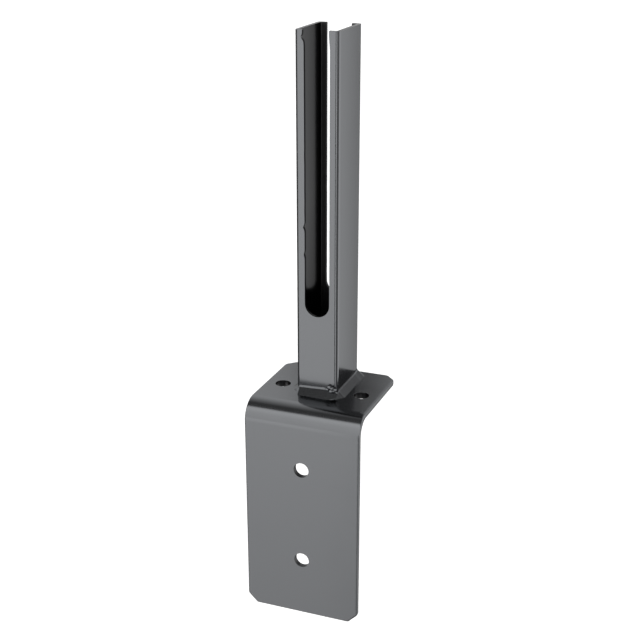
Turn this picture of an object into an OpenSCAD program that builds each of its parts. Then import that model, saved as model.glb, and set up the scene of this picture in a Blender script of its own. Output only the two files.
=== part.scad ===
// Fence post base plate: an angle folded from one flat strip, with a slotted tube
// standing on its top leg for a hollow fence post to slide over.
// Millimetres. The origin is on the underside of the top leg, midway between its two
// bolt holes. X runs along the bend, +Y away from the vertical leg, Z up the tube.
// The modules are drawn from the vertical leg's outer face and the top leg's upper
// face, and placed() moves each of them to the origin.

/* [Folded plate] */
// width along the bend
plate_w = 100; // [70:1:200]
// thickness of the strip
plate_t = 5; // [3:0.5:10]
// top leg, from the vertical leg's outer face to the rear edge
top_leg = 96; // [80:1:160]
// vertical leg, from the top leg's upper face to its lower edge
vertical_leg = 190; // [140:1:300]
// inside radius of the bend
bend_in = 12; // [4:0.5:20]
// straight cut across each free corner
corner_cut = 8; // [2:0.5:15]

/* [Bolt holes] */
// diameter of all four bolt holes
hole_d = 13; // [8:0.5:18]
// each top hole's centre from the plate's side edge
top_hole_edge = 15; // [10:0.5:20]
// the top holes' centres from the vertical leg's outer face
top_hole_y = 47; // [35:1:60]
// upper hole of the vertical leg, below the top leg's upper face
leg_hole_top = 53.5; // [35:0.5:60]
// lower hole of the vertical leg, above the lower edge
leg_hole_low = 51.5; // [20:0.5:60]

/* [Slotted tube] */
// width of the tube across the slots
tube_w = 36; // [26:1:44]
// depth of the tube, front wall to rear wall
tube_d = 50; // [30:1:60]
// length of the tube above the top leg
tube_l = 294; // [150:1:500]
// wall thickness of the tube
tube_t = 3; // [1.5:0.5:4]
// outer corner radius of the tube
tube_r = 3; // [2:0.5:6]
// how far the tube stands off the middle of the plate
tube_x = 0; // [-5:0.5:5]
// flat left behind the tube's rear wall
rear_margin = 10; // [8:0.5:20]

/* [Slots] */
// lip left on each side of a slot
lip_w = 7.5; // [6:0.5:10]
// lowest point of the front slot above the top leg
slot_front_z = 68; // [40:1:100]
// lowest point of the rear slot above the top leg
slot_rear_z = 73; // [40:1:100]
// the front slot's left edge is cut away this much at the mouth
mouth_nick = 1.3; // [0:0.1:3]
// the front slot's right edge stands in this much at the mouth
mouth_burr = 0.8; // [0:0.1:2]

/* [Weld beads] */
// leg of the bead that runs round the tube's foot
weld_leg = 6; // [3:0.5:7]
// radius of the largest lump in the cluster at the front bead's right end
lump_r = 2.4; // [1:0.1:3]

/* [Hidden] */
$fn = 64;
bend_out = bend_in + plate_t;
top_spacing = plate_w - 2 * top_hole_edge;
leg_spacing = vertical_leg - leg_hole_top - leg_hole_low;
tube_rear = top_leg - rear_margin;
tube_front = tube_rear - tube_d;
tube_y = tube_rear - tube_d / 2;
tube_left = tube_x - tube_w / 2;
tube_right = tube_x + tube_w / 2;
tube_inner_r = max(tube_r - tube_t, 1);
slot_r = tube_w / 2 - lip_w;
// a cut runs this far past the wall it goes through
cut = 2;
// gap between the ends of two beads
bead_gap = 0.1;

module placed() {
    translate([0, -top_hole_y, plate_t]) children();
}

// Section of the strip: vertical leg, quarter bend, top leg, drawn in Y and Z.
module strip_section() {
    translate([0, -vertical_leg]) square([plate_t, vertical_leg - bend_out]);
    translate([bend_out, -plate_t]) square([top_leg - bend_out, plate_t]);
    intersection() {
        difference() {
            translate([bend_out, -bend_out]) circle(r = bend_out);
            translate([bend_out, -bend_out]) circle(r = bend_in);
        }
        translate([0, -bend_out]) square([bend_out, bend_out]);
    }
}

// Prism that takes one free corner off a flat leg whose free edge lies on Y = 0.
module corner_tool(side) {
    h = plate_w / 2;
    translate([0, 0, -plate_t - cut]) linear_extrude(height = 2 * (plate_t + cut))
        polygon([[side * (h - corner_cut), 0], [side * h, -corner_cut], [side * (h + cut), -corner_cut],
            [side * (h + cut), cut], [side * (h - corner_cut), cut]]);
}

module folded_plate() color([0.16, 0.17, 0.18]) placed() {
    difference() {
        rotate([90, 0, 90]) translate([0, 0, -plate_w / 2]) linear_extrude(height = plate_w) strip_section();
        for (side = [-1, 1]) {
            translate([0, top_leg, 0]) corner_tool(side);
            translate([0, 0, -vertical_leg]) rotate([-90, 0, 0]) corner_tool(side);
            translate([side * top_spacing / 2, top_hole_y, -plate_t - cut]) cylinder(d = hole_d, h = plate_t + 2 * cut);
        }
        for (z = [leg_hole_top, leg_hole_top + leg_spacing])
            translate([0, -cut, -z]) rotate([-90, 0, 0]) cylinder(d = hole_d, h = plate_t + 2 * cut);
    }
}

// Rectangle with round corners.
module round_rect(w, d, r) {
    square([w - 2 * r, d], center = true);
    square([w, d - 2 * r], center = true);
    for (x = [-1, 1], y = [-1, 1])
        translate([x * (w / 2 - r), y * (d / 2 - r)]) circle(r = r);
}

// Round-bottomed slot, open at the tube's top, cut through one wall. The mouth is wider
// by the nick on its left edge and narrower by the burr on its right edge.
module slot_cut(bottom, nick, burr) {
    depth = tube_t + 2 * cut;
    spring = bottom + slot_r;
    translate([0, 0, spring]) rotate([-90, 0, 0]) cylinder(r = slot_r, h = depth);
    rotate([90, 0, 0]) translate([0, 0, -depth]) linear_extrude(height = depth)
        polygon([[-slot_r, spring], [slot_r, spring], [slot_r, tube_l - 14], [slot_r - burr, tube_l - 4],
            [slot_r - burr, tube_l + cut], [-slot_r - nick, tube_l + cut], [-slot_r - nick, tube_l - 3],
            [-slot_r, tube_l - 10]]);
}

module slotted_tube() color([0.17, 0.18, 0.19]) placed() {
    difference() {
        translate([tube_x, tube_y, 0]) linear_extrude(height = tube_l) difference() {
            round_rect(tube_w, tube_d, tube_r);
            round_rect(tube_w - 2 * tube_t, tube_d - 2 * tube_t, tube_inner_r);
        }
        translate([tube_x, tube_front - cut, 0]) slot_cut(slot_front_z, mouth_nick, mouth_burr);
        translate([tube_x, tube_rear - tube_t - cut, 0]) slot_cut(slot_rear_z, 0, 0);
    }
}

// Section of a bead: two legs and a slightly domed face.
module bead_section() {
    c = weld_leg * 0.35;
    intersection() {
        square([weld_leg, weld_leg]);
        translate([-c, -c]) circle(r = sqrt((weld_leg + c) * (weld_leg + c) + c * c));
    }
}

// Straight bead along +Y, on the +X side of its root line.
module bead(len) {
    rotate([90, 0, 0]) translate([0, 0, -len]) linear_extrude(height = len) bead_section();
}

// Bead round one corner of the tube, whose centre is at the origin, in the +X +Y quarter.
module bead_corner() {
    rotate_extrude(angle = 90) translate([tube_r, 0]) bead_section();
}

// Bead along the tube's +X side and round both of its corners.
module side_bead() {
    run = tube_d - 2 * tube_r;
    translate([0, tube_front + tube_r, 0]) bead(run);
    translate([-tube_r, tube_rear - tube_r, 0]) bead_corner();
    translate([-tube_r, tube_front + tube_r, 0]) rotate([0, 0, -90]) bead_corner();
}

// Bead between two corners, along +X, on the -Y side of its root line.
module cross_bead() {
    run = tube_w - 2 * (tube_r + bead_gap);
    translate([tube_left + tube_r + bead_gap, 0, 0]) rotate([0, 0, -90]) bead(run);
}

// Front bead, with a cluster of lumps near its right end.
module front_weld() color([0.2, 0.2, 0.21]) placed() {
    translate([0, tube_front, 0]) cross_bead();
    intersection() {
        union() {
            translate([tube_right - 9.2, tube_front - 1.6, 5.6]) sphere(r = lump_r);
            translate([tube_right - 6.6, tube_front - 1.2, 6.6]) sphere(r = lump_r);
            translate([tube_right - 6.4, tube_front - 3, 4.6]) sphere(r = lump_r * 0.9);
        }
        translate([tube_left + tube_r, tube_front - 10, 0]) cube([tube_w - 2 * tube_r - bead_gap, 10, 12]);
    }
}

module left_weld() color([0.2, 0.2, 0.21]) placed() {
    translate([tube_left, 0, 0]) mirror([1, 0, 0]) side_bead();
}

module right_weld() color([0.2, 0.2, 0.21]) placed() {
    translate([tube_right, 0, 0]) side_bead();
}

module rear_weld() color([0.2, 0.2, 0.21]) placed() {
    translate([0, tube_rear, 0]) mirror([0, 1, 0]) cross_bead();
}

folded_plate();
slotted_tube();
front_weld();
left_weld();
right_weld();
rear_weld();
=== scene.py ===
# Fence post base plate: the looks of its six pieces, and a camera placed as the photograph's was

import math

import bmesh
import bpy
from mathutils import Matrix, Vector, noise


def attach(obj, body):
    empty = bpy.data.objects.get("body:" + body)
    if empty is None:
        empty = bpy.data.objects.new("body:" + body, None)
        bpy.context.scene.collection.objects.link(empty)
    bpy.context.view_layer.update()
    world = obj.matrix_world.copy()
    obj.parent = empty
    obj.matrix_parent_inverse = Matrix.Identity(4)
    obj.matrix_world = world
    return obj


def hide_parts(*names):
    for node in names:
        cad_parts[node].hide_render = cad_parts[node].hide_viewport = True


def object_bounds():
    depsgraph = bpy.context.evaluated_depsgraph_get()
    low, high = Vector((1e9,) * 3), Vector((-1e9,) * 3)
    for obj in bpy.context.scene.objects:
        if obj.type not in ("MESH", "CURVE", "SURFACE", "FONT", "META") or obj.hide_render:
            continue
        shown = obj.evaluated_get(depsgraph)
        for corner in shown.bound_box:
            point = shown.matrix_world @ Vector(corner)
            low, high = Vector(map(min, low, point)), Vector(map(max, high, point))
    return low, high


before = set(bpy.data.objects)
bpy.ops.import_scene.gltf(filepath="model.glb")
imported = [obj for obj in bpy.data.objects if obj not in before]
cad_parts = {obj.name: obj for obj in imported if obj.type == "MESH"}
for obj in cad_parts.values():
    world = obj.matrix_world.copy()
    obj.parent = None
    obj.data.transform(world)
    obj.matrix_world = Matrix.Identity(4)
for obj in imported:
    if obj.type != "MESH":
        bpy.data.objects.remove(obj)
cad_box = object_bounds()

MM = 0.001
scene = bpy.context.scene
scene.view_settings.view_transform = "Standard"


# Sizes of the part in millimetres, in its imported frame

PLATE_HALF = 50.0
PLATE_T = 5.0
LEG_FACE = -47.0
LEG_FOOT = -185.0
TOP_FACE = 5.0
TOP_REAR = 49.0
BEND_IN = 12.0
BEND_STEPS = 40
CORNER_CUT = 8.0
HOLE_R = 6.5
TOP_HOLE_X = 35.0
LEG_HOLES = (-48.5, -133.5)

TUBE_HALF_W = 18.0
TUBE_FRONT = -11.0
TUBE_REAR = 39.0
TUBE_TOP = 299.0
TUBE_T = 3.0
TUBE_R = 3.0
TUBE_IN_R = 1.0
SLOT_R = 10.5
SLOT_FRONT = 73.0
SLOT_REAR = 78.0

# how far a tool reaches beyond what it cuts
OVER = 4.0
HOLE_STEPS = 72


# Camera: the photograph's viewing angle on a 640 by 640 picture, with lengths in metres

PICTURE = 640
VIEW_AZIMUTH = 21.329
VIEW_ELEVATION = 22.153
FOCAL_PIXELS = 1243.0
VIEW_DISTANCE = 0.97553
AIM = Vector((0.0, -0.047, 0.065))
AIM_RIGHT = 0.01557
AIM_UP = -0.01096
PICTURE_CENTRE_Y = 355.66


def make_camera():
    az = math.radians(VIEW_AZIMUTH)
    el = math.radians(VIEW_ELEVATION)
    back = Vector((math.sin(az) * math.cos(el), -math.cos(az) * math.cos(el), math.sin(el)))
    right = Vector((math.cos(az), math.sin(az), 0.0))
    up = back.cross(right)
    data = bpy.data.cameras.new("camera")
    data.sensor_width = 36.0
    data.lens = FOCAL_PIXELS / PICTURE * data.sensor_width
    data.shift_y = (PICTURE_CENTRE_Y - PICTURE / 2) / PICTURE
    data.clip_start = 0.01
    camera = bpy.data.objects.new("camera", data)
    place = AIM + right * AIM_RIGHT + up * AIM_UP + back * VIEW_DISTANCE
    turn = Matrix((right, up, back)).transposed().to_4x4()
    camera.matrix_world = Matrix.Translation(place) @ turn
    scene.collection.objects.link(camera)
    scene.camera = camera


make_camera()


# Node helpers

def nodes_of(owner):
    owner.use_nodes = True
    tree = owner.node_tree
    tree.nodes.clear()
    return tree


def add(tree, kind, **values):
    node = tree.nodes.new(kind)
    for name, value in values.items():
        setattr(node, name, value)
    return node


def feed(tree, socket, value):
    if isinstance(value, bpy.types.NodeSocket):
        tree.links.new(value, socket)
    else:
        socket.default_value = value


def calc(tree, operation, *values, clamp=False):
    node = add(tree, "ShaderNodeMath", operation=operation, use_clamp=clamp)
    for socket, value in zip(node.inputs, values):
        feed(tree, socket, value)
    return node.outputs[0]


def rise(tree, value, low, high, start=0.0, end=1.0):
    """A smooth step of value from start at low to end at high."""
    node = add(tree, "ShaderNodeMapRange", interpolation_type="SMOOTHSTEP")
    feed(tree, node.inputs["Value"], value)
    node.inputs["From Min"].default_value = low
    node.inputs["From Max"].default_value = high
    node.inputs["To Min"].default_value = start
    node.inputs["To Max"].default_value = end
    return node.outputs["Result"]


def blend(tree, factor, low, high):
    mix = add(tree, "ShaderNodeMix", data_type="FLOAT")
    feed(tree, mix.inputs["Factor"], factor)
    feed(tree, mix.inputs["A"], low)
    feed(tree, mix.inputs["B"], high)
    return mix.outputs["Result"]


def ramp(tree, source, stops):
    node = add(tree, "ShaderNodeValToRGB")
    elements = node.color_ramp.elements
    while len(elements) > 1:
        elements.remove(elements[-1])
    for index, (place, tone) in enumerate(stops):
        element = elements[0] if index == 0 else elements.new(place)
        element.position = place
        element.color = (tone, tone, tone, 1.0)
    tree.links.new(source, node.inputs[0])
    return node.outputs[0]


# Studio: light walls, a dark strip overhead and dark flags beside the part, with the floor in metres

FLOOR_DROP = 0.25
FLOOR_HALF = 30.0
FLOOR_TONE = 0.9
FLOOR_GLOW = 0.62

# tone of the room along the arc from the front (0) over the top to the rear (180 degrees)
ARC_TONES = (
    (0.0, 1.08), (30.0, 1.16), (52.0, 1.4), (59.5, 1.2), (63.5, 0.14), (88.0, 0.12), (96.0, 0.28),
    (110.0, 0.52), (130.0, 0.88), (148.0, 1.08), (160.0, 1.0), (168.0, 0.8), (180.0, 0.85),
)
# tone of the room in front of the part against how far below the horizon it is, and its gain
# from one azimuth to the next
FRONT_DROP = ((0.10, 0.98), (0.25, 0.93), (0.37, 0.88), (0.43, 0.84), (0.56, 0.68), (0.66, 0.6),
              (0.76, 0.5), (0.87, 0.05))
FRONT_AZIMUTHS = (-26.0, -18.0)
FRONT_GAIN = (1.29, 1.46)
# the room behind the part, below the horizon: its tone by height, and a step down by azimuth
BEHIND_HEIGHTS = (-0.66, -0.33)
BEHIND_TONES = (0.91, 1.3)
BEHIND_AZIMUTHS = (155.0, 166.0)
BEHIND_GAIN = (1.0, 0.42)
# where the parts of the room run into each other
FRONT_BLEND = (-0.1, 0.1)
HORIZON_BLEND = (-0.12, -0.02)
HIGH_BLEND = (0.16, 0.21)

# flags below the horizon: the azimuths, in degrees from the front towards the right, where each one
# starts, is full, begins to end and ends, and then its tone
FLAGS_BELOW = (
    (-17.0, -15.0, 1.0, 4.0, 0.02),
    (23.0, 28.0, 86.0, 94.0, 0.2),
    (-143.0, -138.0, -58.0, -44.0, 0.12),
    (165.0, 171.0, 200.0, 210.0, 0.5),
    (-220.0, -210.0, -170.0, -162.0, 0.5),
)

# soft flags behind the part, above the horizon, in the same terms
FLAGS_BEHIND = (
    (-163.6, -160.8, -159.2, -157.4, 0.05),
    (138.0, 145.0, 166.0, 173.0, 0.36),
)


def flagged(tree, level, turn, flags):
    """The level, dimmed to each flag's tone between that flag's soft edges."""
    for low, low_end, high_start, high, tone in flags:
        falling = rise(tree, turn, high_start, high, 1.0, 0.0)
        inside = calc(tree, "MULTIPLY", rise(tree, turn, low, low_end), falling)
        dim = calc(tree, "SUBTRACT", 1.0, calc(tree, "MULTIPLY", inside, 1.0 - tone))
        level = calc(tree, "MULTIPLY", level, dim)
    return level


def make_world():
    world = bpy.data.worlds.new("studio")
    scene.world = world
    tree = nodes_of(world)
    place = add(tree, "ShaderNodeTexCoord")
    split = add(tree, "ShaderNodeSeparateXYZ")
    tree.links.new(place.outputs["Generated"], split.inputs[0])
    x, y, z = split.outputs
    front = calc(tree, "MULTIPLY", y, -1.0)
    overhead = calc(tree, "ARCTAN2", z, front)
    share = calc(tree, "DIVIDE", overhead, math.pi, clamp=True)
    above = ramp(tree, share, [(angle / 180.0, tone) for angle, tone in ARC_TONES])
    turn = calc(tree, "DEGREES", calc(tree, "ARCTAN2", x, front))
    dimmed = flagged(tree, above, turn, FLAGS_BEHIND)
    above = blend(tree, rise(tree, z, *HIGH_BLEND), above, dimmed)
    behind = rise(tree, z, *BEHIND_HEIGHTS, *BEHIND_TONES)
    behind = calc(tree, "MULTIPLY", behind, rise(tree, turn, *BEHIND_AZIMUTHS, *BEHIND_GAIN))
    ahead = ramp(tree, calc(tree, "MULTIPLY", z, -1.0), FRONT_DROP)
    ahead = calc(tree, "MULTIPLY", ahead, rise(tree, turn, *FRONT_AZIMUTHS, *FRONT_GAIN))
    lit = blend(tree, rise(tree, front, *FRONT_BLEND), behind, ahead)
    below = calc(tree, "MULTIPLY", flagged(tree, 1.0, turn, FLAGS_BELOW), lit)
    room = add(tree, "ShaderNodeBackground")
    tree.links.new(blend(tree, rise(tree, z, *HORIZON_BLEND), below, above), room.inputs["Color"])
    seen = add(tree, "ShaderNodeBackground")
    seen.inputs["Color"].default_value = (1, 1, 1, 1)
    rays = add(tree, "ShaderNodeLightPath")
    choose = add(tree, "ShaderNodeMixShader")
    tree.links.new(rays.outputs["Is Camera Ray"], choose.inputs[0])
    tree.links.new(room.outputs[0], choose.inputs[1])
    tree.links.new(seen.outputs[0], choose.inputs[2])
    out = add(tree, "ShaderNodeOutputWorld")
    tree.links.new(choose.outputs[0], out.inputs[0])


def make_floor():
    level = cad_box[0][2] - FLOOR_DROP
    mesh = bpy.data.meshes.new("floor")
    corners = [(x * FLOOR_HALF, y * FLOOR_HALF, level) for x, y in ((-1, -1), (1, -1), (1, 1), (-1, 1))]
    mesh.from_pydata(corners, [], [(0, 1, 2, 3)])
    floor = bpy.data.objects.new("floor", mesh)
    scene.collection.objects.link(floor)
    floor.visible_glossy = False
    paint = bpy.data.materials.new("floor_paint")
    tree = nodes_of(paint)
    body = add(tree, "ShaderNodeBsdfDiffuse")
    body.inputs["Color"].default_value = (FLOOR_TONE, FLOOR_TONE, FLOOR_TONE, 1)
    glow = add(tree, "ShaderNodeEmission")
    rays = add(tree, "ShaderNodeLightPath")
    seen = calc(tree, "MAXIMUM", rays.outputs["Is Camera Ray"], rays.outputs["Is Transmission Ray"])
    feed(tree, glow.inputs["Strength"], calc(tree, "MULTIPLY", seen, FLOOR_GLOW))
    total = add(tree, "ShaderNodeAddShader")
    tree.links.new(body.outputs[0], total.inputs[0])
    tree.links.new(glow.outputs[0], total.inputs[1])
    out = add(tree, "ShaderNodeOutputMaterial")
    tree.links.new(total.outputs[0], out.inputs["Surface"])
    mesh.materials.append(paint)


make_world()
make_floor()


# Powder coat: fine orange peel, and faint clouds in its tone and gloss.
# Crown is how far, in millimetres, the tube's side walls stand out in their middle.
# The shade input is painted shade: how much of its tone the coat loses from the tube's front to its rear,
# and towards its foot.

PEEL_DETAIL = 1.5
CLOUDS_PER_METRE = 24.0
CLOUD_DETAIL = 3.0
# the height in millimetres where the painted shade towards the foot starts, the drop over which it
# would be whole, and the most of it that is reached
SHADE_START = 160.0
SHADE_DROP = 200.0
SHADE_MOST = 0.45


def coat_surface_group():
    group = bpy.data.node_groups.new("powder_coat_surface", "ShaderNodeTree")
    for name, kind, value in (
        ("Tone", "NodeSocketColor", (0.2, 0.203, 0.21, 1)),
        ("Peel Size", "NodeSocketFloat", 1.6),
        ("Peel Depth", "NodeSocketFloat", 0.003),
        ("Crown", "NodeSocketFloat", 0.0),
        ("Fade", "NodeSocketFloat", 0.0),
        ("Cloud", "NodeSocketFloat", 0.08),
        ("Roughness", "NodeSocketFloat", 0.2),
    ):
        socket = group.interface.new_socket(name, in_out="INPUT", socket_type=kind)
        socket.default_value = value
    group.interface.new_socket("Color", in_out="OUTPUT", socket_type="NodeSocketColor")
    group.interface.new_socket("Roughness", in_out="OUTPUT", socket_type="NodeSocketFloat")
    group.interface.new_socket("Height", in_out="OUTPUT", socket_type="NodeSocketFloat")
    given = add(group, "NodeGroupInput")
    place = add(group, "ShaderNodeTexCoord")
    peel = add(group, "ShaderNodeTexNoise")
    peel.inputs["Detail"].default_value = PEEL_DETAIL
    group.links.new(place.outputs["Object"], peel.inputs["Vector"])
    feed(group, peel.inputs["Scale"], calc(group, "DIVIDE", 1 / MM, given.outputs["Peel Size"]))
    cloud = add(group, "ShaderNodeTexNoise")
    cloud.inputs["Scale"].default_value = CLOUDS_PER_METRE
    cloud.inputs["Detail"].default_value = CLOUD_DETAIL
    group.links.new(place.outputs["Object"], cloud.inputs["Vector"])
    swing = calc(group, "SUBTRACT", cloud.outputs["Fac"], 0.5)
    swing = calc(group, "MULTIPLY", swing, given.outputs["Cloud"])
    split = add(group, "ShaderNodeSeparateXYZ")
    group.links.new(place.outputs["Object"], split.inputs[0])
    # painted shade: the tone drops from the tube's front to its rear, and towards its foot
    middle = (TUBE_FRONT + TUBE_REAR) / 2 * MM
    half = (TUBE_REAR - TUBE_FRONT) / 2 * MM
    across = calc(group, "DIVIDE", calc(group, "SUBTRACT", split.outputs["Y"], middle), half)
    rearward = calc(group, "MULTIPLY", calc(group, "ADD", across, 1.0), 0.5)
    drop = calc(group, "SUBTRACT", SHADE_START * MM, split.outputs["Z"])
    low = calc(group, "DIVIDE", drop, SHADE_DROP * MM)
    low = calc(group, "MINIMUM", calc(group, "MAXIMUM", low, 0.0), SHADE_MOST)
    share = calc(group, "MULTIPLY", calc(group, "ADD", rearward, low), given.outputs["Fade"])
    kept = calc(group, "SUBTRACT", 1.0, share)
    tone = add(group, "ShaderNodeVectorMath", operation="SCALE")
    group.links.new(given.outputs["Tone"], tone.inputs[0])
    feed(group, tone.inputs["Scale"], calc(group, "MULTIPLY", calc(group, "ADD", swing, 1.0), kept))
    result = add(group, "NodeGroupOutput")
    group.links.new(tone.outputs[0], result.inputs["Color"])
    feed(group, result.inputs["Roughness"], calc(group, "ADD", given.outputs["Roughness"], swing))
    bow = calc(group, "MULTIPLY", calc(group, "MULTIPLY", across, across), given.outputs["Crown"])
    grain = calc(group, "MULTIPLY", peel.outputs["Fac"], given.outputs["Peel Depth"])
    feed(group, result.inputs["Height"], calc(group, "SUBTRACT", grain, bow))
    return group


SURFACE = coat_surface_group()


def powder_coat(name, tone, roughness, peel_depth, crown=0.0, painted_shade=0.0, edge_tint=0.6):
    material = bpy.data.materials.new(name)
    tree = nodes_of(material)
    surface = add(tree, "ShaderNodeGroup", node_tree=SURFACE)
    surface.inputs["Tone"].default_value = (*tone, 1)
    surface.inputs["Roughness"].default_value = roughness
    surface.inputs["Peel Depth"].default_value = peel_depth
    surface.inputs["Crown"].default_value = crown
    surface.inputs["Fade"].default_value = painted_shade
    paint = add(tree, "ShaderNodeBsdfPrincipled")
    paint.inputs["Metallic"].default_value = 1.0
    paint.inputs["Specular Tint"].default_value = (edge_tint, edge_tint, edge_tint, 1)
    tree.links.new(surface.outputs["Color"], paint.inputs["Base Color"])
    tree.links.new(surface.outputs["Roughness"], paint.inputs["Roughness"])
    bump = add(tree, "ShaderNodeBump")
    bump.inputs["Strength"].default_value = 1.0
    bump.inputs["Distance"].default_value = MM
    tree.links.new(surface.outputs["Height"], bump.inputs["Height"])
    tree.links.new(bump.outputs[0], paint.inputs["Normal"])
    out = add(tree, "ShaderNodeOutputMaterial")
    tree.links.new(paint.outputs[0], out.inputs["Surface"])
    return material


DARK_GREY = (0.195, 0.20, 0.208)
PLATE_COAT = powder_coat("plate_powder_coat", DARK_GREY, 0.17, 0.003)
TUBE_COAT = powder_coat("tube_powder_coat", DARK_GREY, 0.17, 0.003, crown=0.25)
# the next three coats are darker than the outer one: painted shade inside the tube and on the slot's cut
BORE_SIDE_SHADED_COAT = powder_coat("thin_coat_on_inner_sides", (0.076, 0.077, 0.079), 0.2, 0.006,
                             crown=0.6, painted_shade=0.8)
BORE_SHADED_COAT = powder_coat("thin_coat_inside_tube", (0.06, 0.06, 0.061), 0.45, 0.02)
CUT_SHADED_COAT = powder_coat("thin_coat_on_slot_cut", (0.035, 0.035, 0.036), 0.4, 0.02)
# darker than the outer coat: painted shade in the bolt holes
HOLE_SHADED_COAT = powder_coat("thin_coat_in_bolt_holes", (0.065, 0.065, 0.067), 0.3, 0.01)
WELD_COAT = powder_coat("weld_powder_coat", (0.165, 0.17, 0.177), 0.2, 0.01)


# Mesh helpers

# edges that turn by more than SHARP degrees are rounded, and those under FLAT are joined away
SHARP = 25.0
FLAT = 0.05
ROUND_STEPS = 4
# points closer than this, in millimetres, are one
MERGE = 0.002


def mesh_object(name, points, faces):
    mesh = bpy.data.meshes.new(name)
    mesh.from_pydata([Vector(p) * MM for p in points], [], faces)
    piece = bpy.data.objects.new(name, mesh)
    scene.collection.objects.link(piece)
    return piece


def face_outwards(mesh):
    work = bmesh.new()
    work.from_mesh(mesh)
    bmesh.ops.recalc_face_normals(work, faces=work.faces)
    work.to_mesh(mesh)
    work.free()


def prism(name, outline, low, high, place):
    """A closed prism: outline is a list of (a, b), and place turns (a, b, depth) into a point."""
    count = len(outline)
    points = [place(a, b, low) for a, b in outline] + [place(a, b, high) for a, b in outline]
    faces = [tuple(range(count)), tuple(range(2 * count - 1, count - 1, -1))]
    faces += [(i, i + count, (i + 1) % count + count, (i + 1) % count) for i in range(count)]
    piece = mesh_object(name, points, faces)
    face_outwards(piece.data)
    return piece


def arc(cx, cy, radius, start, end, steps):
    """Points on an arc, in degrees, both ends included."""
    out = []
    for i in range(steps + 1):
        angle = math.radians(start + (end - start) * i / steps)
        out.append((cx + radius * math.cos(angle), cy + radius * math.sin(angle)))
    return out


def ring(cx, cy, radius, steps):
    """Points all round a circle, the first one not repeated."""
    return arc(cx, cy, radius, 0, 360 - 360 / steps, steps - 1)


def cut_away(piece, tools):
    for tool in tools:
        cutter = piece.modifiers.new("cut", "BOOLEAN")
        cutter.operation = "DIFFERENCE"
        cutter.solver = "EXACT"
        cutter.object = tool
    settle(piece)
    for tool in tools:
        bpy.data.objects.remove(tool)


def settle(piece):
    """Turns the piece's live modifiers into its plain mesh."""
    graph = bpy.context.evaluated_depsgraph_get()
    mesh = bpy.data.meshes.new_from_object(piece.evaluated_get(graph))
    piece.modifiers.clear()
    old = piece.data
    piece.data = mesh
    bpy.data.meshes.remove(old)
    mesh.name = piece.name


def soften(piece, radius, fine, fine_share):
    """Rounds the sharp edges, and those that fine() picks less. The flats are made to shade flat."""
    work = bmesh.new()
    work.from_mesh(piece.data)
    bmesh.ops.remove_doubles(work, verts=work.verts, dist=MERGE * MM)
    bmesh.ops.dissolve_degenerate(work, edges=work.edges, dist=MERGE * MM)
    flat = [e for e in work.edges if e.is_manifold and e.calc_face_angle() < math.radians(FLAT)]
    bmesh.ops.dissolve_edges(work, edges=flat, use_verts=False)
    weight = work.edges.layers.float.new("bevel_weight_edge")
    for edge in work.edges:
        if edge.is_manifold and edge.calc_face_angle() > math.radians(SHARP):
            middle = (edge.verts[0].co + edge.verts[1].co) / 2 / MM
            edge[weight] = fine_share if fine(middle) else 1.0
    work.to_mesh(piece.data)
    work.free()
    bevel = piece.modifiers.new("soft_edges", "BEVEL")
    bevel.width = radius * MM
    bevel.segments = ROUND_STEPS
    bevel.limit_method = "WEIGHT"
    bevel.miter_outer = "MITER_ARC"
    bevel.use_clamp_overlap = True
    settle(piece)
    piece.data.shade_smooth()
    weigh = piece.modifiers.new("flat_faces", "WEIGHTED_NORMAL")
    weigh.mode = "FACE_AREA"
    weigh.weight = 100
    weigh.keep_sharp = False


# Folded plate: one strip, bent a quarter turn, with four holes and four cut corners

PLATE_ROUND = 1.1
HOLE_ROUND_SHARE = 0.11
TOP_CORNER_SOFT = 1.5
LEG_CORNER_SOFT = 0.7
# an eased corner: how far along each edge it starts, and how far it lies inside the sharp corner
EASE_RUN = 1.6
EASE_DIP = 0.28
# how much a top leg hole narrows down to the underside, and how deep the punch goes
PUNCH_TAPER = 0.35
PUNCH_DEPTH = 9.0
# the burr's section: distance from the hole's lower edge, and height. Its first sides have the
# hole's coat, with its painted shade
BURR_SECTION = (
    (-0.02, 0.4), (-0.02, -0.40), (0.08, -0.52), (0.25, -0.55), (0.55, -0.42), (0.85, -0.2), (1.1, 0.0),
    (1.3, 0.4),
)
BURR_HOLE_SIDES = 2
# how far round a hole's wall its own coat, darkened with painted shade, and its finer edge reach
HOLE_REACH = 0.5
# a face that leans less than this along a hole's axis is the hole's wall
HOLE_WALL_LEAN = 0.4


def plate_section():
    bend_out = BEND_IN + PLATE_T
    cy = LEG_FACE + bend_out
    cz = TOP_FACE - bend_out
    outer = arc(cy, cz, bend_out, 90, 180, BEND_STEPS)
    inner = arc(cy, cz, BEND_IN, 180, 90, BEND_STEPS)
    foot = [(LEG_FACE, LEG_FOOT), (LEG_FACE + PLATE_T, LEG_FOOT)]
    rear = [(TOP_REAR, TOP_FACE - PLATE_T), (TOP_REAR, TOP_FACE)]
    return outer + foot + inner + rear


def corner_outline(side, edge, away, ease):
    """Waste cut off one free corner, its two new corners eased. Points are measured in from the corner."""
    run = ease * EASE_RUN
    dip = ease * EASE_DIP
    slant = ease * math.sqrt(0.5)
    clear = 0.001
    far = 5.0
    inward = (
        (CORNER_CUT + run, -clear), (CORNER_CUT, dip), (CORNER_CUT - slant, slant),
        (slant, CORNER_CUT - slant), (dip, CORNER_CUT), (-clear, CORNER_CUT + run),
        (-far, CORNER_CUT + run), (-far, -far), (CORNER_CUT + run, -far),
    )
    return [(side * (PLATE_HALF - a), edge - away * b) for a, b in inward]


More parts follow.
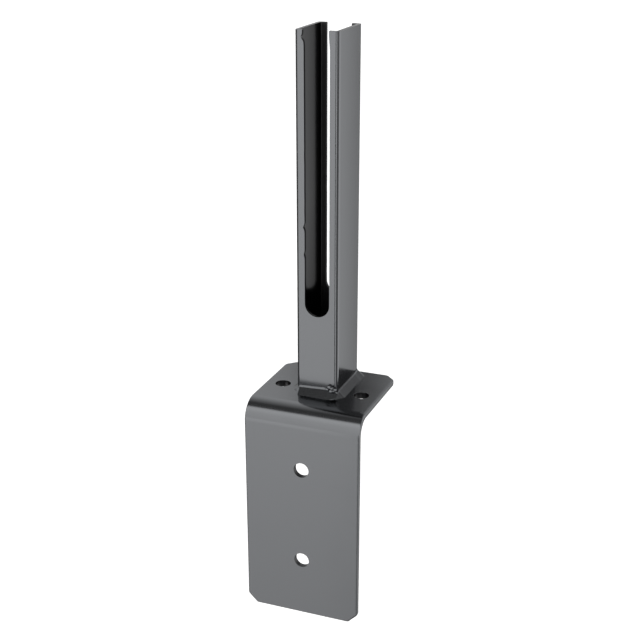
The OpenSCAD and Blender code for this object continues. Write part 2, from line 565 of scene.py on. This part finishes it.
def punch(x):
    """The punch for a top leg hole, which narrows a little towards the underside."""
    count = HOLE_STEPS
    tip = HOLE_R - PUNCH_TAPER * PUNCH_DEPTH / PLATE_T
    levels = ((TOP_FACE + OVER, HOLE_R), (TOP_FACE, HOLE_R), (TOP_FACE - PUNCH_DEPTH, tip))
    points = []
    for z, radius in levels:
        points += [(a, b, z) for a, b in ring(x, 0, radius, count)]
    last = len(levels) - 1
    faces = [tuple(range(count)), tuple(range((last + 1) * count - 1, last * count - 1, -1))]
    for level in range(last):
        for i in range(count):
            j = (i + 1) % count
            low = level * count
            faces.append((low + i, low + j, low + count + j, low + count + i))
    piece = mesh_object("tool", points, faces)
    face_outwards(piece.data)
    return piece


def burr(piece, x):
    """The low rolled edge that punching leaves round the underside of a top leg hole."""
    foot = HOLE_R - PUNCH_TAPER
    work = bmesh.new()
    work.from_mesh(piece.data)
    rows = []
    for i in range(HOLE_STEPS):
        angle = math.tau * i / HOLE_STEPS
        row = []
        for out, z in BURR_SECTION:
            place = Vector((x + (foot + out) * math.cos(angle), (foot + out) * math.sin(angle), z))
            row.append(work.verts.new(place * MM))
        rows.append(row)
    count = len(BURR_SECTION)
    for i, here in enumerate(rows):
        then = rows[(i + 1) % HOLE_STEPS]
        for k in range(count):
            m = (k + 1) % count
            face = work.faces.new((here[k], then[k], then[m], here[m]))
            face.smooth = True
            face.material_index = 1 if k < BURR_HOLE_SIDES else 0
    work.to_mesh(piece.data)
    work.free()
    face_outwards(piece.data)


def in_top_leg(p):
    return p.z > LEG_HOLES[0] / 2


def at_a_hole(p):
    reach = HOLE_R + HOLE_REACH
    if in_top_leg(p):
        return math.hypot(abs(p.x) - TOP_HOLE_X, p.y) < reach
    return any(math.hypot(p.x, p.z - z) < reach for z in LEG_HOLES)


def folded_plate():
    piece = prism("plate", plate_section(), -PLATE_HALF, PLATE_HALF, lambda a, b, d: (d, a, b))
    tools = []
    front = LEG_FACE - OVER
    back = LEG_FACE + PLATE_T + OVER
    for side in (-1, 1):
        tools.append(punch(side * TOP_HOLE_X))
        corner = corner_outline(side, TOP_REAR, 1, TOP_CORNER_SOFT)
        tools.append(prism("tool", corner, -OVER, TOP_FACE + OVER, lambda a, b, d: (a, b, d)))
        corner = corner_outline(side, LEG_FOOT, -1, LEG_CORNER_SOFT)
        tools.append(prism("tool", corner, front, back, lambda a, b, d: (a, d, b)))
    for z in LEG_HOLES:
        hole = ring(0, z, HOLE_R, HOLE_STEPS)
        tools.append(prism("tool", hole, front, back, lambda a, b, d: (a, d, b)))
    cut_away(piece, tools)
    soften(piece, PLATE_ROUND, at_a_hole, HOLE_ROUND_SHARE)
    mesh = piece.data
    mesh.materials.clear()
    mesh.materials.append(PLATE_COAT)
    mesh.materials.append(HOLE_SHADED_COAT)
    # the holes' walls get the coat with painted shade
    for face in mesh.polygons:
        middle = face.center / MM
        lean = abs(face.normal.z if in_top_leg(middle) else face.normal.y)
        face.material_index = 1 if lean < HOLE_WALL_LEAN and at_a_hole(middle) else 0
    for side in (-1, 1):
        burr(piece, side * TOP_HOLE_X)
    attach(piece, "root")
    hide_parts("folded_plate")
    return piece


folded_plate()


# Slotted tube: rectangular tube with a cut slot in its front and rear walls

TUBE_ROUND = 0.35
SLOT_ROUND_SHARE = 0.4
OUTER_CORNER_STEPS = 12
INNER_CORNER_STEPS = 6
SLOT_FOOT_STEPS = 40
SLOT_STEP = 1.5
# how far the slot's tools reach beyond a wall, less than the gap to the other side of the bore
SLOT_OVER = 1.4
# how often, per millimetre, and how far the slot's left and right edges wander, and the layer of
# the noise that each follows
LEFT_WANDER = (0.11, 0.16, 0.3)
RIGHT_WANDER = (0.13, 0.14, 0.8)
# each slot has its own seed, and its right edge another one, this much further on
FRONT_SEED = 3.0
REAR_SEED = 21.0
RIGHT_SEED_SHIFT = 7.0
# at the front slot's mouth: how far the edge is cut away or stands in, the height below the mouth
# where that starts, and the run over which it comes
MOUTH_NICK = (1.3, 10.0, 7.0)
MOUTH_BURR = (0.8, 14.0, 10.0)
# height, depth and half-height of each nick in the left edge of the front slot
NICKS = ((293.5, 1.5, 1.8), (147.0, 1.2, 1.9), (124.5, 0.8, 1.8))
# how deep into a wall a face may lie and still have the bore's or the outer coat
SKIN = 0.4
OUTER_SKIN = 0.3
# how far beside the slot its cut edges reach, and how far below the mouth they end
CUT_REACH = 2.0
CUT_END = 0.5
# a face whose normal has more than SQUARE_ON along an axis faces that way, and one that has less
# than EDGE_ON stands across it
SQUARE_ON = 0.9
EDGE_ON = 0.5


def round_rectangle(half_w, low, high, radius, steps):
    out = arc(half_w - radius, high - radius, radius, 0, 90, steps)
    out += arc(-half_w + radius, high - radius, radius, 90, 180, steps)
    out += arc(-half_w + radius, low + radius, radius, 180, 270, steps)
    out += arc(half_w - radius, low + radius, radius, 270, 360, steps)
    return out


def wander(seed, z, how):
    often, far, layer = how
    return max(0.0, noise.noise(Vector((seed, z * often, layer))) * far)


def at_mouth(z, change):
    amount, start, run = change
    return amount * min(1.0, max(0.0, (z - (TUBE_TOP - start)) / run))


def nicks(z):
    return sum(depth * math.exp(-((z - height) / half) ** 2) for height, depth, half in NICKS)


def slot_outline(bottom, worn, seed):
    """The cut's outline. Its edges wander a little, and a worn slot has its mouth and its nicks."""
    spring = bottom + SLOT_R
    top = TUBE_TOP + OVER
    count = int((top - spring) / SLOT_STEP)
    left = []
    right = []
    for i in range(1, count + 1):
        z = spring + (top - spring) * i / count
        cut_away_by = at_mouth(z, MOUTH_NICK) + nicks(z) if worn else 0.0
        stands_in_by = at_mouth(z, MOUTH_BURR) if worn else 0.0
        left.append((-SLOT_R - cut_away_by - wander(seed, z, LEFT_WANDER), z))
        right.append((SLOT_R - stands_in_by + wander(seed + RIGHT_SEED_SHIFT, z, RIGHT_WANDER), z))
    foot = arc(0, spring, SLOT_R, 180, 360, SLOT_FOOT_STEPS)
    return foot + right + left[::-1]


def slot_tool(bottom, worn, seed, low, high):
    outline = slot_outline(bottom, worn, seed)
    return prism("tool", outline, low - SLOT_OVER, high + SLOT_OVER, lambda a, b, d: (a, d, b))


def at_a_slot(p):
    return abs(p.x) < SLOT_R + CUT_REACH and p.z < TUBE_TOP - CUT_END


def tube_coat_index(face):
    """Which of the tube's four coats a face has: outer, or bore, bore side or cut, the last three darkened
    with painted shade.
    """
    c = face.center / MM
    inside_x = abs(c.x) < TUBE_HALF_W - TUBE_T + SKIN
    inside_y = TUBE_FRONT + TUBE_T - SKIN < c.y < TUBE_REAR - TUBE_T + SKIN
    in_wall = min(c.y - TUBE_FRONT, TUBE_REAR - c.y) > OUTER_SKIN
    if inside_x and inside_y:
        # the strip inside the rear wall, right of the slot, has the outside's coat, without the bore's
        # painted shade
        if c.x > SLOT_R and face.normal.y < -SQUARE_ON:
            return 0
        return 2 if abs(face.normal.x) > SQUARE_ON else 1
    if abs(c.x) < SLOT_R + CUT_REACH and abs(face.normal.y) < EDGE_ON and in_wall:
        return 3
    return 0


def slotted_tube():
    outer = round_rectangle(TUBE_HALF_W, TUBE_FRONT, TUBE_REAR, TUBE_R, OUTER_CORNER_STEPS)
    piece = prism("tube", outer, TOP_FACE, TUBE_TOP, lambda a, b, d: (a, b, d))
    front_inner = TUBE_FRONT + TUBE_T
    rear_inner = TUBE_REAR - TUBE_T
    inner = round_rectangle(TUBE_HALF_W - TUBE_T, front_inner, rear_inner, TUBE_IN_R, INNER_CORNER_STEPS)
    bore = prism("tool", inner, TOP_FACE - OVER, TUBE_TOP + OVER, lambda a, b, d: (a, b, d))
    cut_away(piece, [bore])
    front = slot_tool(SLOT_FRONT, True, FRONT_SEED, TUBE_FRONT, front_inner)
    rear = slot_tool(SLOT_REAR, False, REAR_SEED, rear_inner, TUBE_REAR)
    cut_away(piece, [front, rear])
    soften(piece, TUBE_ROUND, at_a_slot, SLOT_ROUND_SHARE)
    mesh = piece.data
    mesh.materials.clear()
    for coat in (TUBE_COAT, BORE_SHADED_COAT, BORE_SIDE_SHADED_COAT, CUT_SHADED_COAT):
        mesh.materials.append(coat)
    for face in mesh.polygons:
        face.material_index = tube_coat_index(face)
    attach(piece, "root")
    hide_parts("slotted_tube")
    return piece


slotted_tube()


# Weld beads: a section swept round the tube's foot, with faint ripples and shaped ends

# the noise that makes a bead wander, and how many ripples it brings forward or holds back
DRIFT_PER_METRE = 90.0
RIPPLE_DELAY = 3.5


def weld_bead_tree():
    tree = bpy.data.node_groups.new("weld_bead", "GeometryNodeTree")
    sockets = (
        ("Path", "NodeSocketGeometry", None),
        ("Section", "NodeSocketObject", None),
        ("Step", "NodeSocketFloat", 0.35 * MM),
        ("Start Length", "NodeSocketFloat", 3.0 * MM),
        ("Start Size", "NodeSocketFloat", 0.1),
        ("End Length", "NodeSocketFloat", 3.0 * MM),
        ("End Size", "NodeSocketFloat", 0.1),
        ("Roundness", "NodeSocketFloat", 1.0),
        ("Ripple Pitch", "NodeSocketFloat", 2.6 * MM),
        ("Ripple Depth", "NodeSocketFloat", 0.005),
        ("Wander", "NodeSocketFloat", 0.08),
        ("Coat", "NodeSocketMaterial", None),
    )
    for name, kind, value in sockets:
        socket = tree.interface.new_socket(name, in_out="INPUT", socket_type=kind)
        if value is not None:
            socket.default_value = value
    tree.interface.new_socket("Bead", in_out="OUTPUT", socket_type="NodeSocketGeometry")
    given = add(tree, "NodeGroupInput")

    path = add(tree, "GeometryNodeResampleCurve", mode="LENGTH")
    feed(tree, path.inputs["Curve"], given.outputs["Path"])
    feed(tree, path.inputs["Length"], given.outputs["Step"])
    upright = add(tree, "GeometryNodeSetCurveNormal", mode="Z_UP")
    feed(tree, upright.inputs["Curve"], path.outputs[0])

    along = add(tree, "GeometryNodeSplineParameter").outputs["Length"]
    total = add(tree, "GeometryNodeSplineLength").outputs["Length"]
    left = calc(tree, "SUBTRACT", total, along)
    size = 1.0
    for run, end in ((along, "Start"), (left, "End")):
        share = calc(tree, "DIVIDE", run, given.outputs[end + " Length"], clamp=True)
        back = calc(tree, "SUBTRACT", 1.0, share)
        curve = calc(tree, "SQRT", calc(tree, "SUBTRACT", 1.0, calc(tree, "MULTIPLY", back, back)))
        swell = calc(tree, "MULTIPLY", calc(tree, "SUBTRACT", curve, share), given.outputs["Roundness"])
        rising = calc(tree, "ADD", share, swell)
        gain = calc(tree, "MULTIPLY", rising, calc(tree, "SUBTRACT", 1.0, given.outputs[end + " Size"]))
        size = calc(tree, "MULTIPLY", size, calc(tree, "ADD", given.outputs[end + " Size"], gain))
    drift = add(tree, "ShaderNodeTexNoise")
    drift.inputs["Scale"].default_value = DRIFT_PER_METRE
    drift.inputs["Detail"].default_value = 1.0
    feed(tree, drift.inputs["Vector"], add(tree, "GeometryNodeInputPosition").outputs[0])
    swing = calc(tree, "SUBTRACT", drift.outputs["Fac"], 0.5)
    late = calc(tree, "MULTIPLY", swing, RIPPLE_DELAY)
    beat = calc(tree, "ADD", calc(tree, "DIVIDE", along, given.outputs["Ripple Pitch"]), late)
    wave = calc(tree, "SINE", calc(tree, "MULTIPLY", beat, math.tau))
    ripple = calc(tree, "MULTIPLY", wave, given.outputs["Ripple Depth"])
    sway = calc(tree, "MULTIPLY", swing, given.outputs["Wander"])
    size = calc(tree, "MULTIPLY", size, calc(tree, "ADD", calc(tree, "ADD", ripple, sway), 1.0))

    section = add(tree, "GeometryNodeObjectInfo")
    feed(tree, section.inputs["Object"], given.outputs["Section"])
    sweep = add(tree, "GeometryNodeCurveToMesh")
    feed(tree, sweep.inputs["Curve"], upright.outputs[0])
    feed(tree, sweep.inputs["Profile Curve"], section.outputs["Geometry"])
    feed(tree, sweep.inputs["Scale"], size)
    sweep.inputs["Fill Caps"].default_value = True
    smooth = add(tree, "GeometryNodeSetShadeSmooth")
    feed(tree, smooth.inputs["Geometry"], sweep.outputs[0])
    real = add(tree, "GeometryNodeRealizeInstances")
    feed(tree, real.inputs[0], smooth.outputs[0])
    coated = add(tree, "GeometryNodeSetMaterial")
    feed(tree, coated.inputs["Geometry"], real.outputs[0])
    feed(tree, coated.inputs["Material"], given.outputs["Coat"])
    result = add(tree, "NodeGroupOutput")
    feed(tree, result.inputs[0], coated.outputs[0])
    return tree


def poly_curve(name, points, closed=False):
    data = bpy.data.curves.new(name, "CURVE")
    data.dimensions = "3D"
    line = data.splines.new("POLY")
    line.points.add(len(points) - 1)
    for point, place in zip(line.points, points):
        point.co = (place[0] * MM, place[1] * MM, place[2] * MM, 1.0)
    line.use_cyclic_u = closed
    piece = bpy.data.objects.new(name, data)
    scene.collection.objects.link(piece)
    return piece


# where a bead's upper toe starts: distance off the tube as a share of its lip, and drop in millimetres
LIP_START = (0.30, 0.03)
# the rest of it, in shares of its lip: distance off the tube, and drop below its highest point
LIP_SHAPE = ((0.65, 0.15), (0.88, 0.40), (1.0, 0.8), (1.02, 1.35), (1.15, 1.8))
LIP_END = (1.45, 2.3)
BEAD_INTO_TUBE = 0.3
# the face goes on below the plate's face, so that its lower edge keeps a clean line
BEAD_TOE = -1.2
BEAD_SUNK = -1.8
BEAD_FACE_STEPS = 9


def bead_section(out, up, lip):
    """Half-round upper toe that stands a lip proud of the tube, then a flat face down to the plate."""
    face = [(-BEAD_INTO_TUBE, up), (lip * LIP_START[0], up - LIP_START[1])]
    face += [(lip * off, up - lip * drop) for off, drop in LIP_SHAPE]
    start = up - lip * LIP_END[1]
    slope = start / (out - lip * LIP_END[0])
    for i in range(BEAD_FACE_STEPS + 1):
        height = start + (BEAD_TOE - start) * i / BEAD_FACE_STEPS
        face.append((out - height / slope, height))
    face += [(out - BEAD_SUNK / slope, BEAD_SUNK), (-BEAD_INTO_TUBE, BEAD_SUNK)]
    return face


BEAD_TREE = weld_bead_tree()


def weld_bead(name, path, section, **values):
    """Sweeps a section (distance off the tube, height off the plate) along a path round the tube's foot.
    A path's point may have a third value, its lift off the plate."""
    piece = poly_curve(name + "_path", [(x, y, TOP_FACE + sum(rest)) for x, y, *rest in path])
    outline = poly_curve(name + "_section", [(a, -b, 0.0) for a, b in section], closed=True)
    live = piece.modifiers.new("bead", "NODES")
    live.node_group = BEAD_TREE
    sockets = [item for item in BEAD_TREE.interface.items_tree if item.in_out == "INPUT"]
    given = {item.name: item.identifier for item in sockets}
    live[given["Section"]] = outline
    live[given["Coat"]] = WELD_COAT
    for key, value in values.items():
        live[given[key.replace("_", " ").title()]] = value
    graph = bpy.context.evaluated_depsgraph_get()
    mesh = bpy.data.meshes.new_from_object(piece.evaluated_get(graph))
    mesh.name = name
    bead = bpy.data.objects.new(name, mesh)
    scene.collection.objects.link(bead)
    bpy.data.objects.remove(piece)
    bpy.data.objects.remove(outline)
    face_outwards(mesh)
    return bead


# place and radius of each lump in the cluster at the front bead's right end
LUMPS = (
    (11.3, -12.0, 13.5, 1.9), (9.5, -12.4, 11.5, 1.7), (13.6, -12.4, 12.8, 1.8),
    (16.4, -12.2, 12.0, 1.6), (13.0, -13.4, 10.7, 1.7), (15.1, -12.9, 10.8, 1.3),
)
# how far out of round a lump is, how fine its unevenness is, and how far apart in the noise two
# lumps are taken
LUMP_SWELL = 0.16
LUMP_GRAIN_PER_METRE = 700.0
LUMP_APART = 3.1


def weld_lumps(bead):
    """Lumps stuck to the bead, each a little out of round."""
    work = bmesh.new()
    work.from_mesh(bead.data)
    for index, (x, y, z, radius) in enumerate(LUMPS):
        made = bmesh.ops.create_icosphere(work, subdivisions=4, radius=radius * MM)
        shift = Vector((x, y, z)) * MM
        own = Vector((index * LUMP_APART, 0.0, 0.0))
        for vert in made["verts"]:
            swell = 1.0 + LUMP_SWELL * noise.noise(vert.co * LUMP_GRAIN_PER_METRE + own)
            vert.co = vert.co * swell + shift
    for face in work.faces:
        face.smooth = True
    work.to_mesh(bead.data)
    work.free()


# how far each bead runs past the tube's corner, or stops short of it where the value is below zero
FRONT_PAST_LEFT = -0.8
FRONT_PAST_RIGHT = 0.5
LEFT_PAST_FRONT = -1.0
RIGHT_PAST_FRONT = 5.2
REAR_PAST_SIDES = 0.3 - TUBE_R
CORNER_STEPS = 8
# how far the front bead is lifted off the plate in its middle and at its right end
FRONT_LIFT = (0.7, 1.3)


def rear_corner(side):
    """The tube's rear corner on one side, from that side to the rear wall."""
    start = 0 if side > 0 else 180
    return arc(side * (TUBE_HALF_W - TUBE_R), TUBE_REAR - TUBE_R, TUBE_R, start, 90, CORNER_STEPS)


FRONT_PATH = [
    (-TUBE_HALF_W - FRONT_PAST_LEFT, TUBE_FRONT), (0, TUBE_FRONT, FRONT_LIFT[0]),
    (TUBE_HALF_W + FRONT_PAST_RIGHT, TUBE_FRONT, FRONT_LIFT[1]),
]
LEFT_PATH = rear_corner(-1)[::-1] + [(-TUBE_HALF_W, TUBE_FRONT - LEFT_PAST_FRONT)]
RIGHT_PATH = [(TUBE_HALF_W, TUBE_FRONT - RIGHT_PAST_FRONT)] + rear_corner(1)
REAR_END = TUBE_HALF_W + REAR_PAST_SIDES
REAR_PATH = [(REAR_END, TUBE_REAR), (-REAR_END, TUBE_REAR)]
BEADS = (
    ("front_weld", FRONT_PATH, bead_section(out=6.7, up=6.5, lip=0.6),
     dict(start_length=2.5 * MM, start_size=0.6, end_length=7.0 * MM, end_size=0.45, wander=0.1,
          roundness=0.0, ripple_depth=0.012)),
    ("left_weld", LEFT_PATH, bead_section(out=6.0, up=4.4, lip=0.5),
     dict(start_length=1.0 * MM, start_size=0.9, end_length=9.0 * MM, end_size=0.1)),
    ("right_weld", RIGHT_PATH, bead_section(out=5.7, up=6.0, lip=0.5),
     dict(step=0.2 * MM, start_length=7.5 * MM, start_size=0.03, end_length=12.0 * MM, end_size=1.15,
          roundness=0.0)),
    ("rear_weld", REAR_PATH, bead_section(out=5.6, up=5.8, lip=0.5),
     dict(start_length=8.0 * MM, start_size=1.15, end_length=1.0 * MM, end_size=0.9, roundness=0.0)),
)
for bead_name, bead_path, section_points, bead_values in BEADS:
    bead = weld_bead(bead_name + "_bead", bead_path, section_points, **bead_values)
    if bead_name == "front_weld":
        weld_lumps(bead)
    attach(bead, "root")
    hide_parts(bead_name)
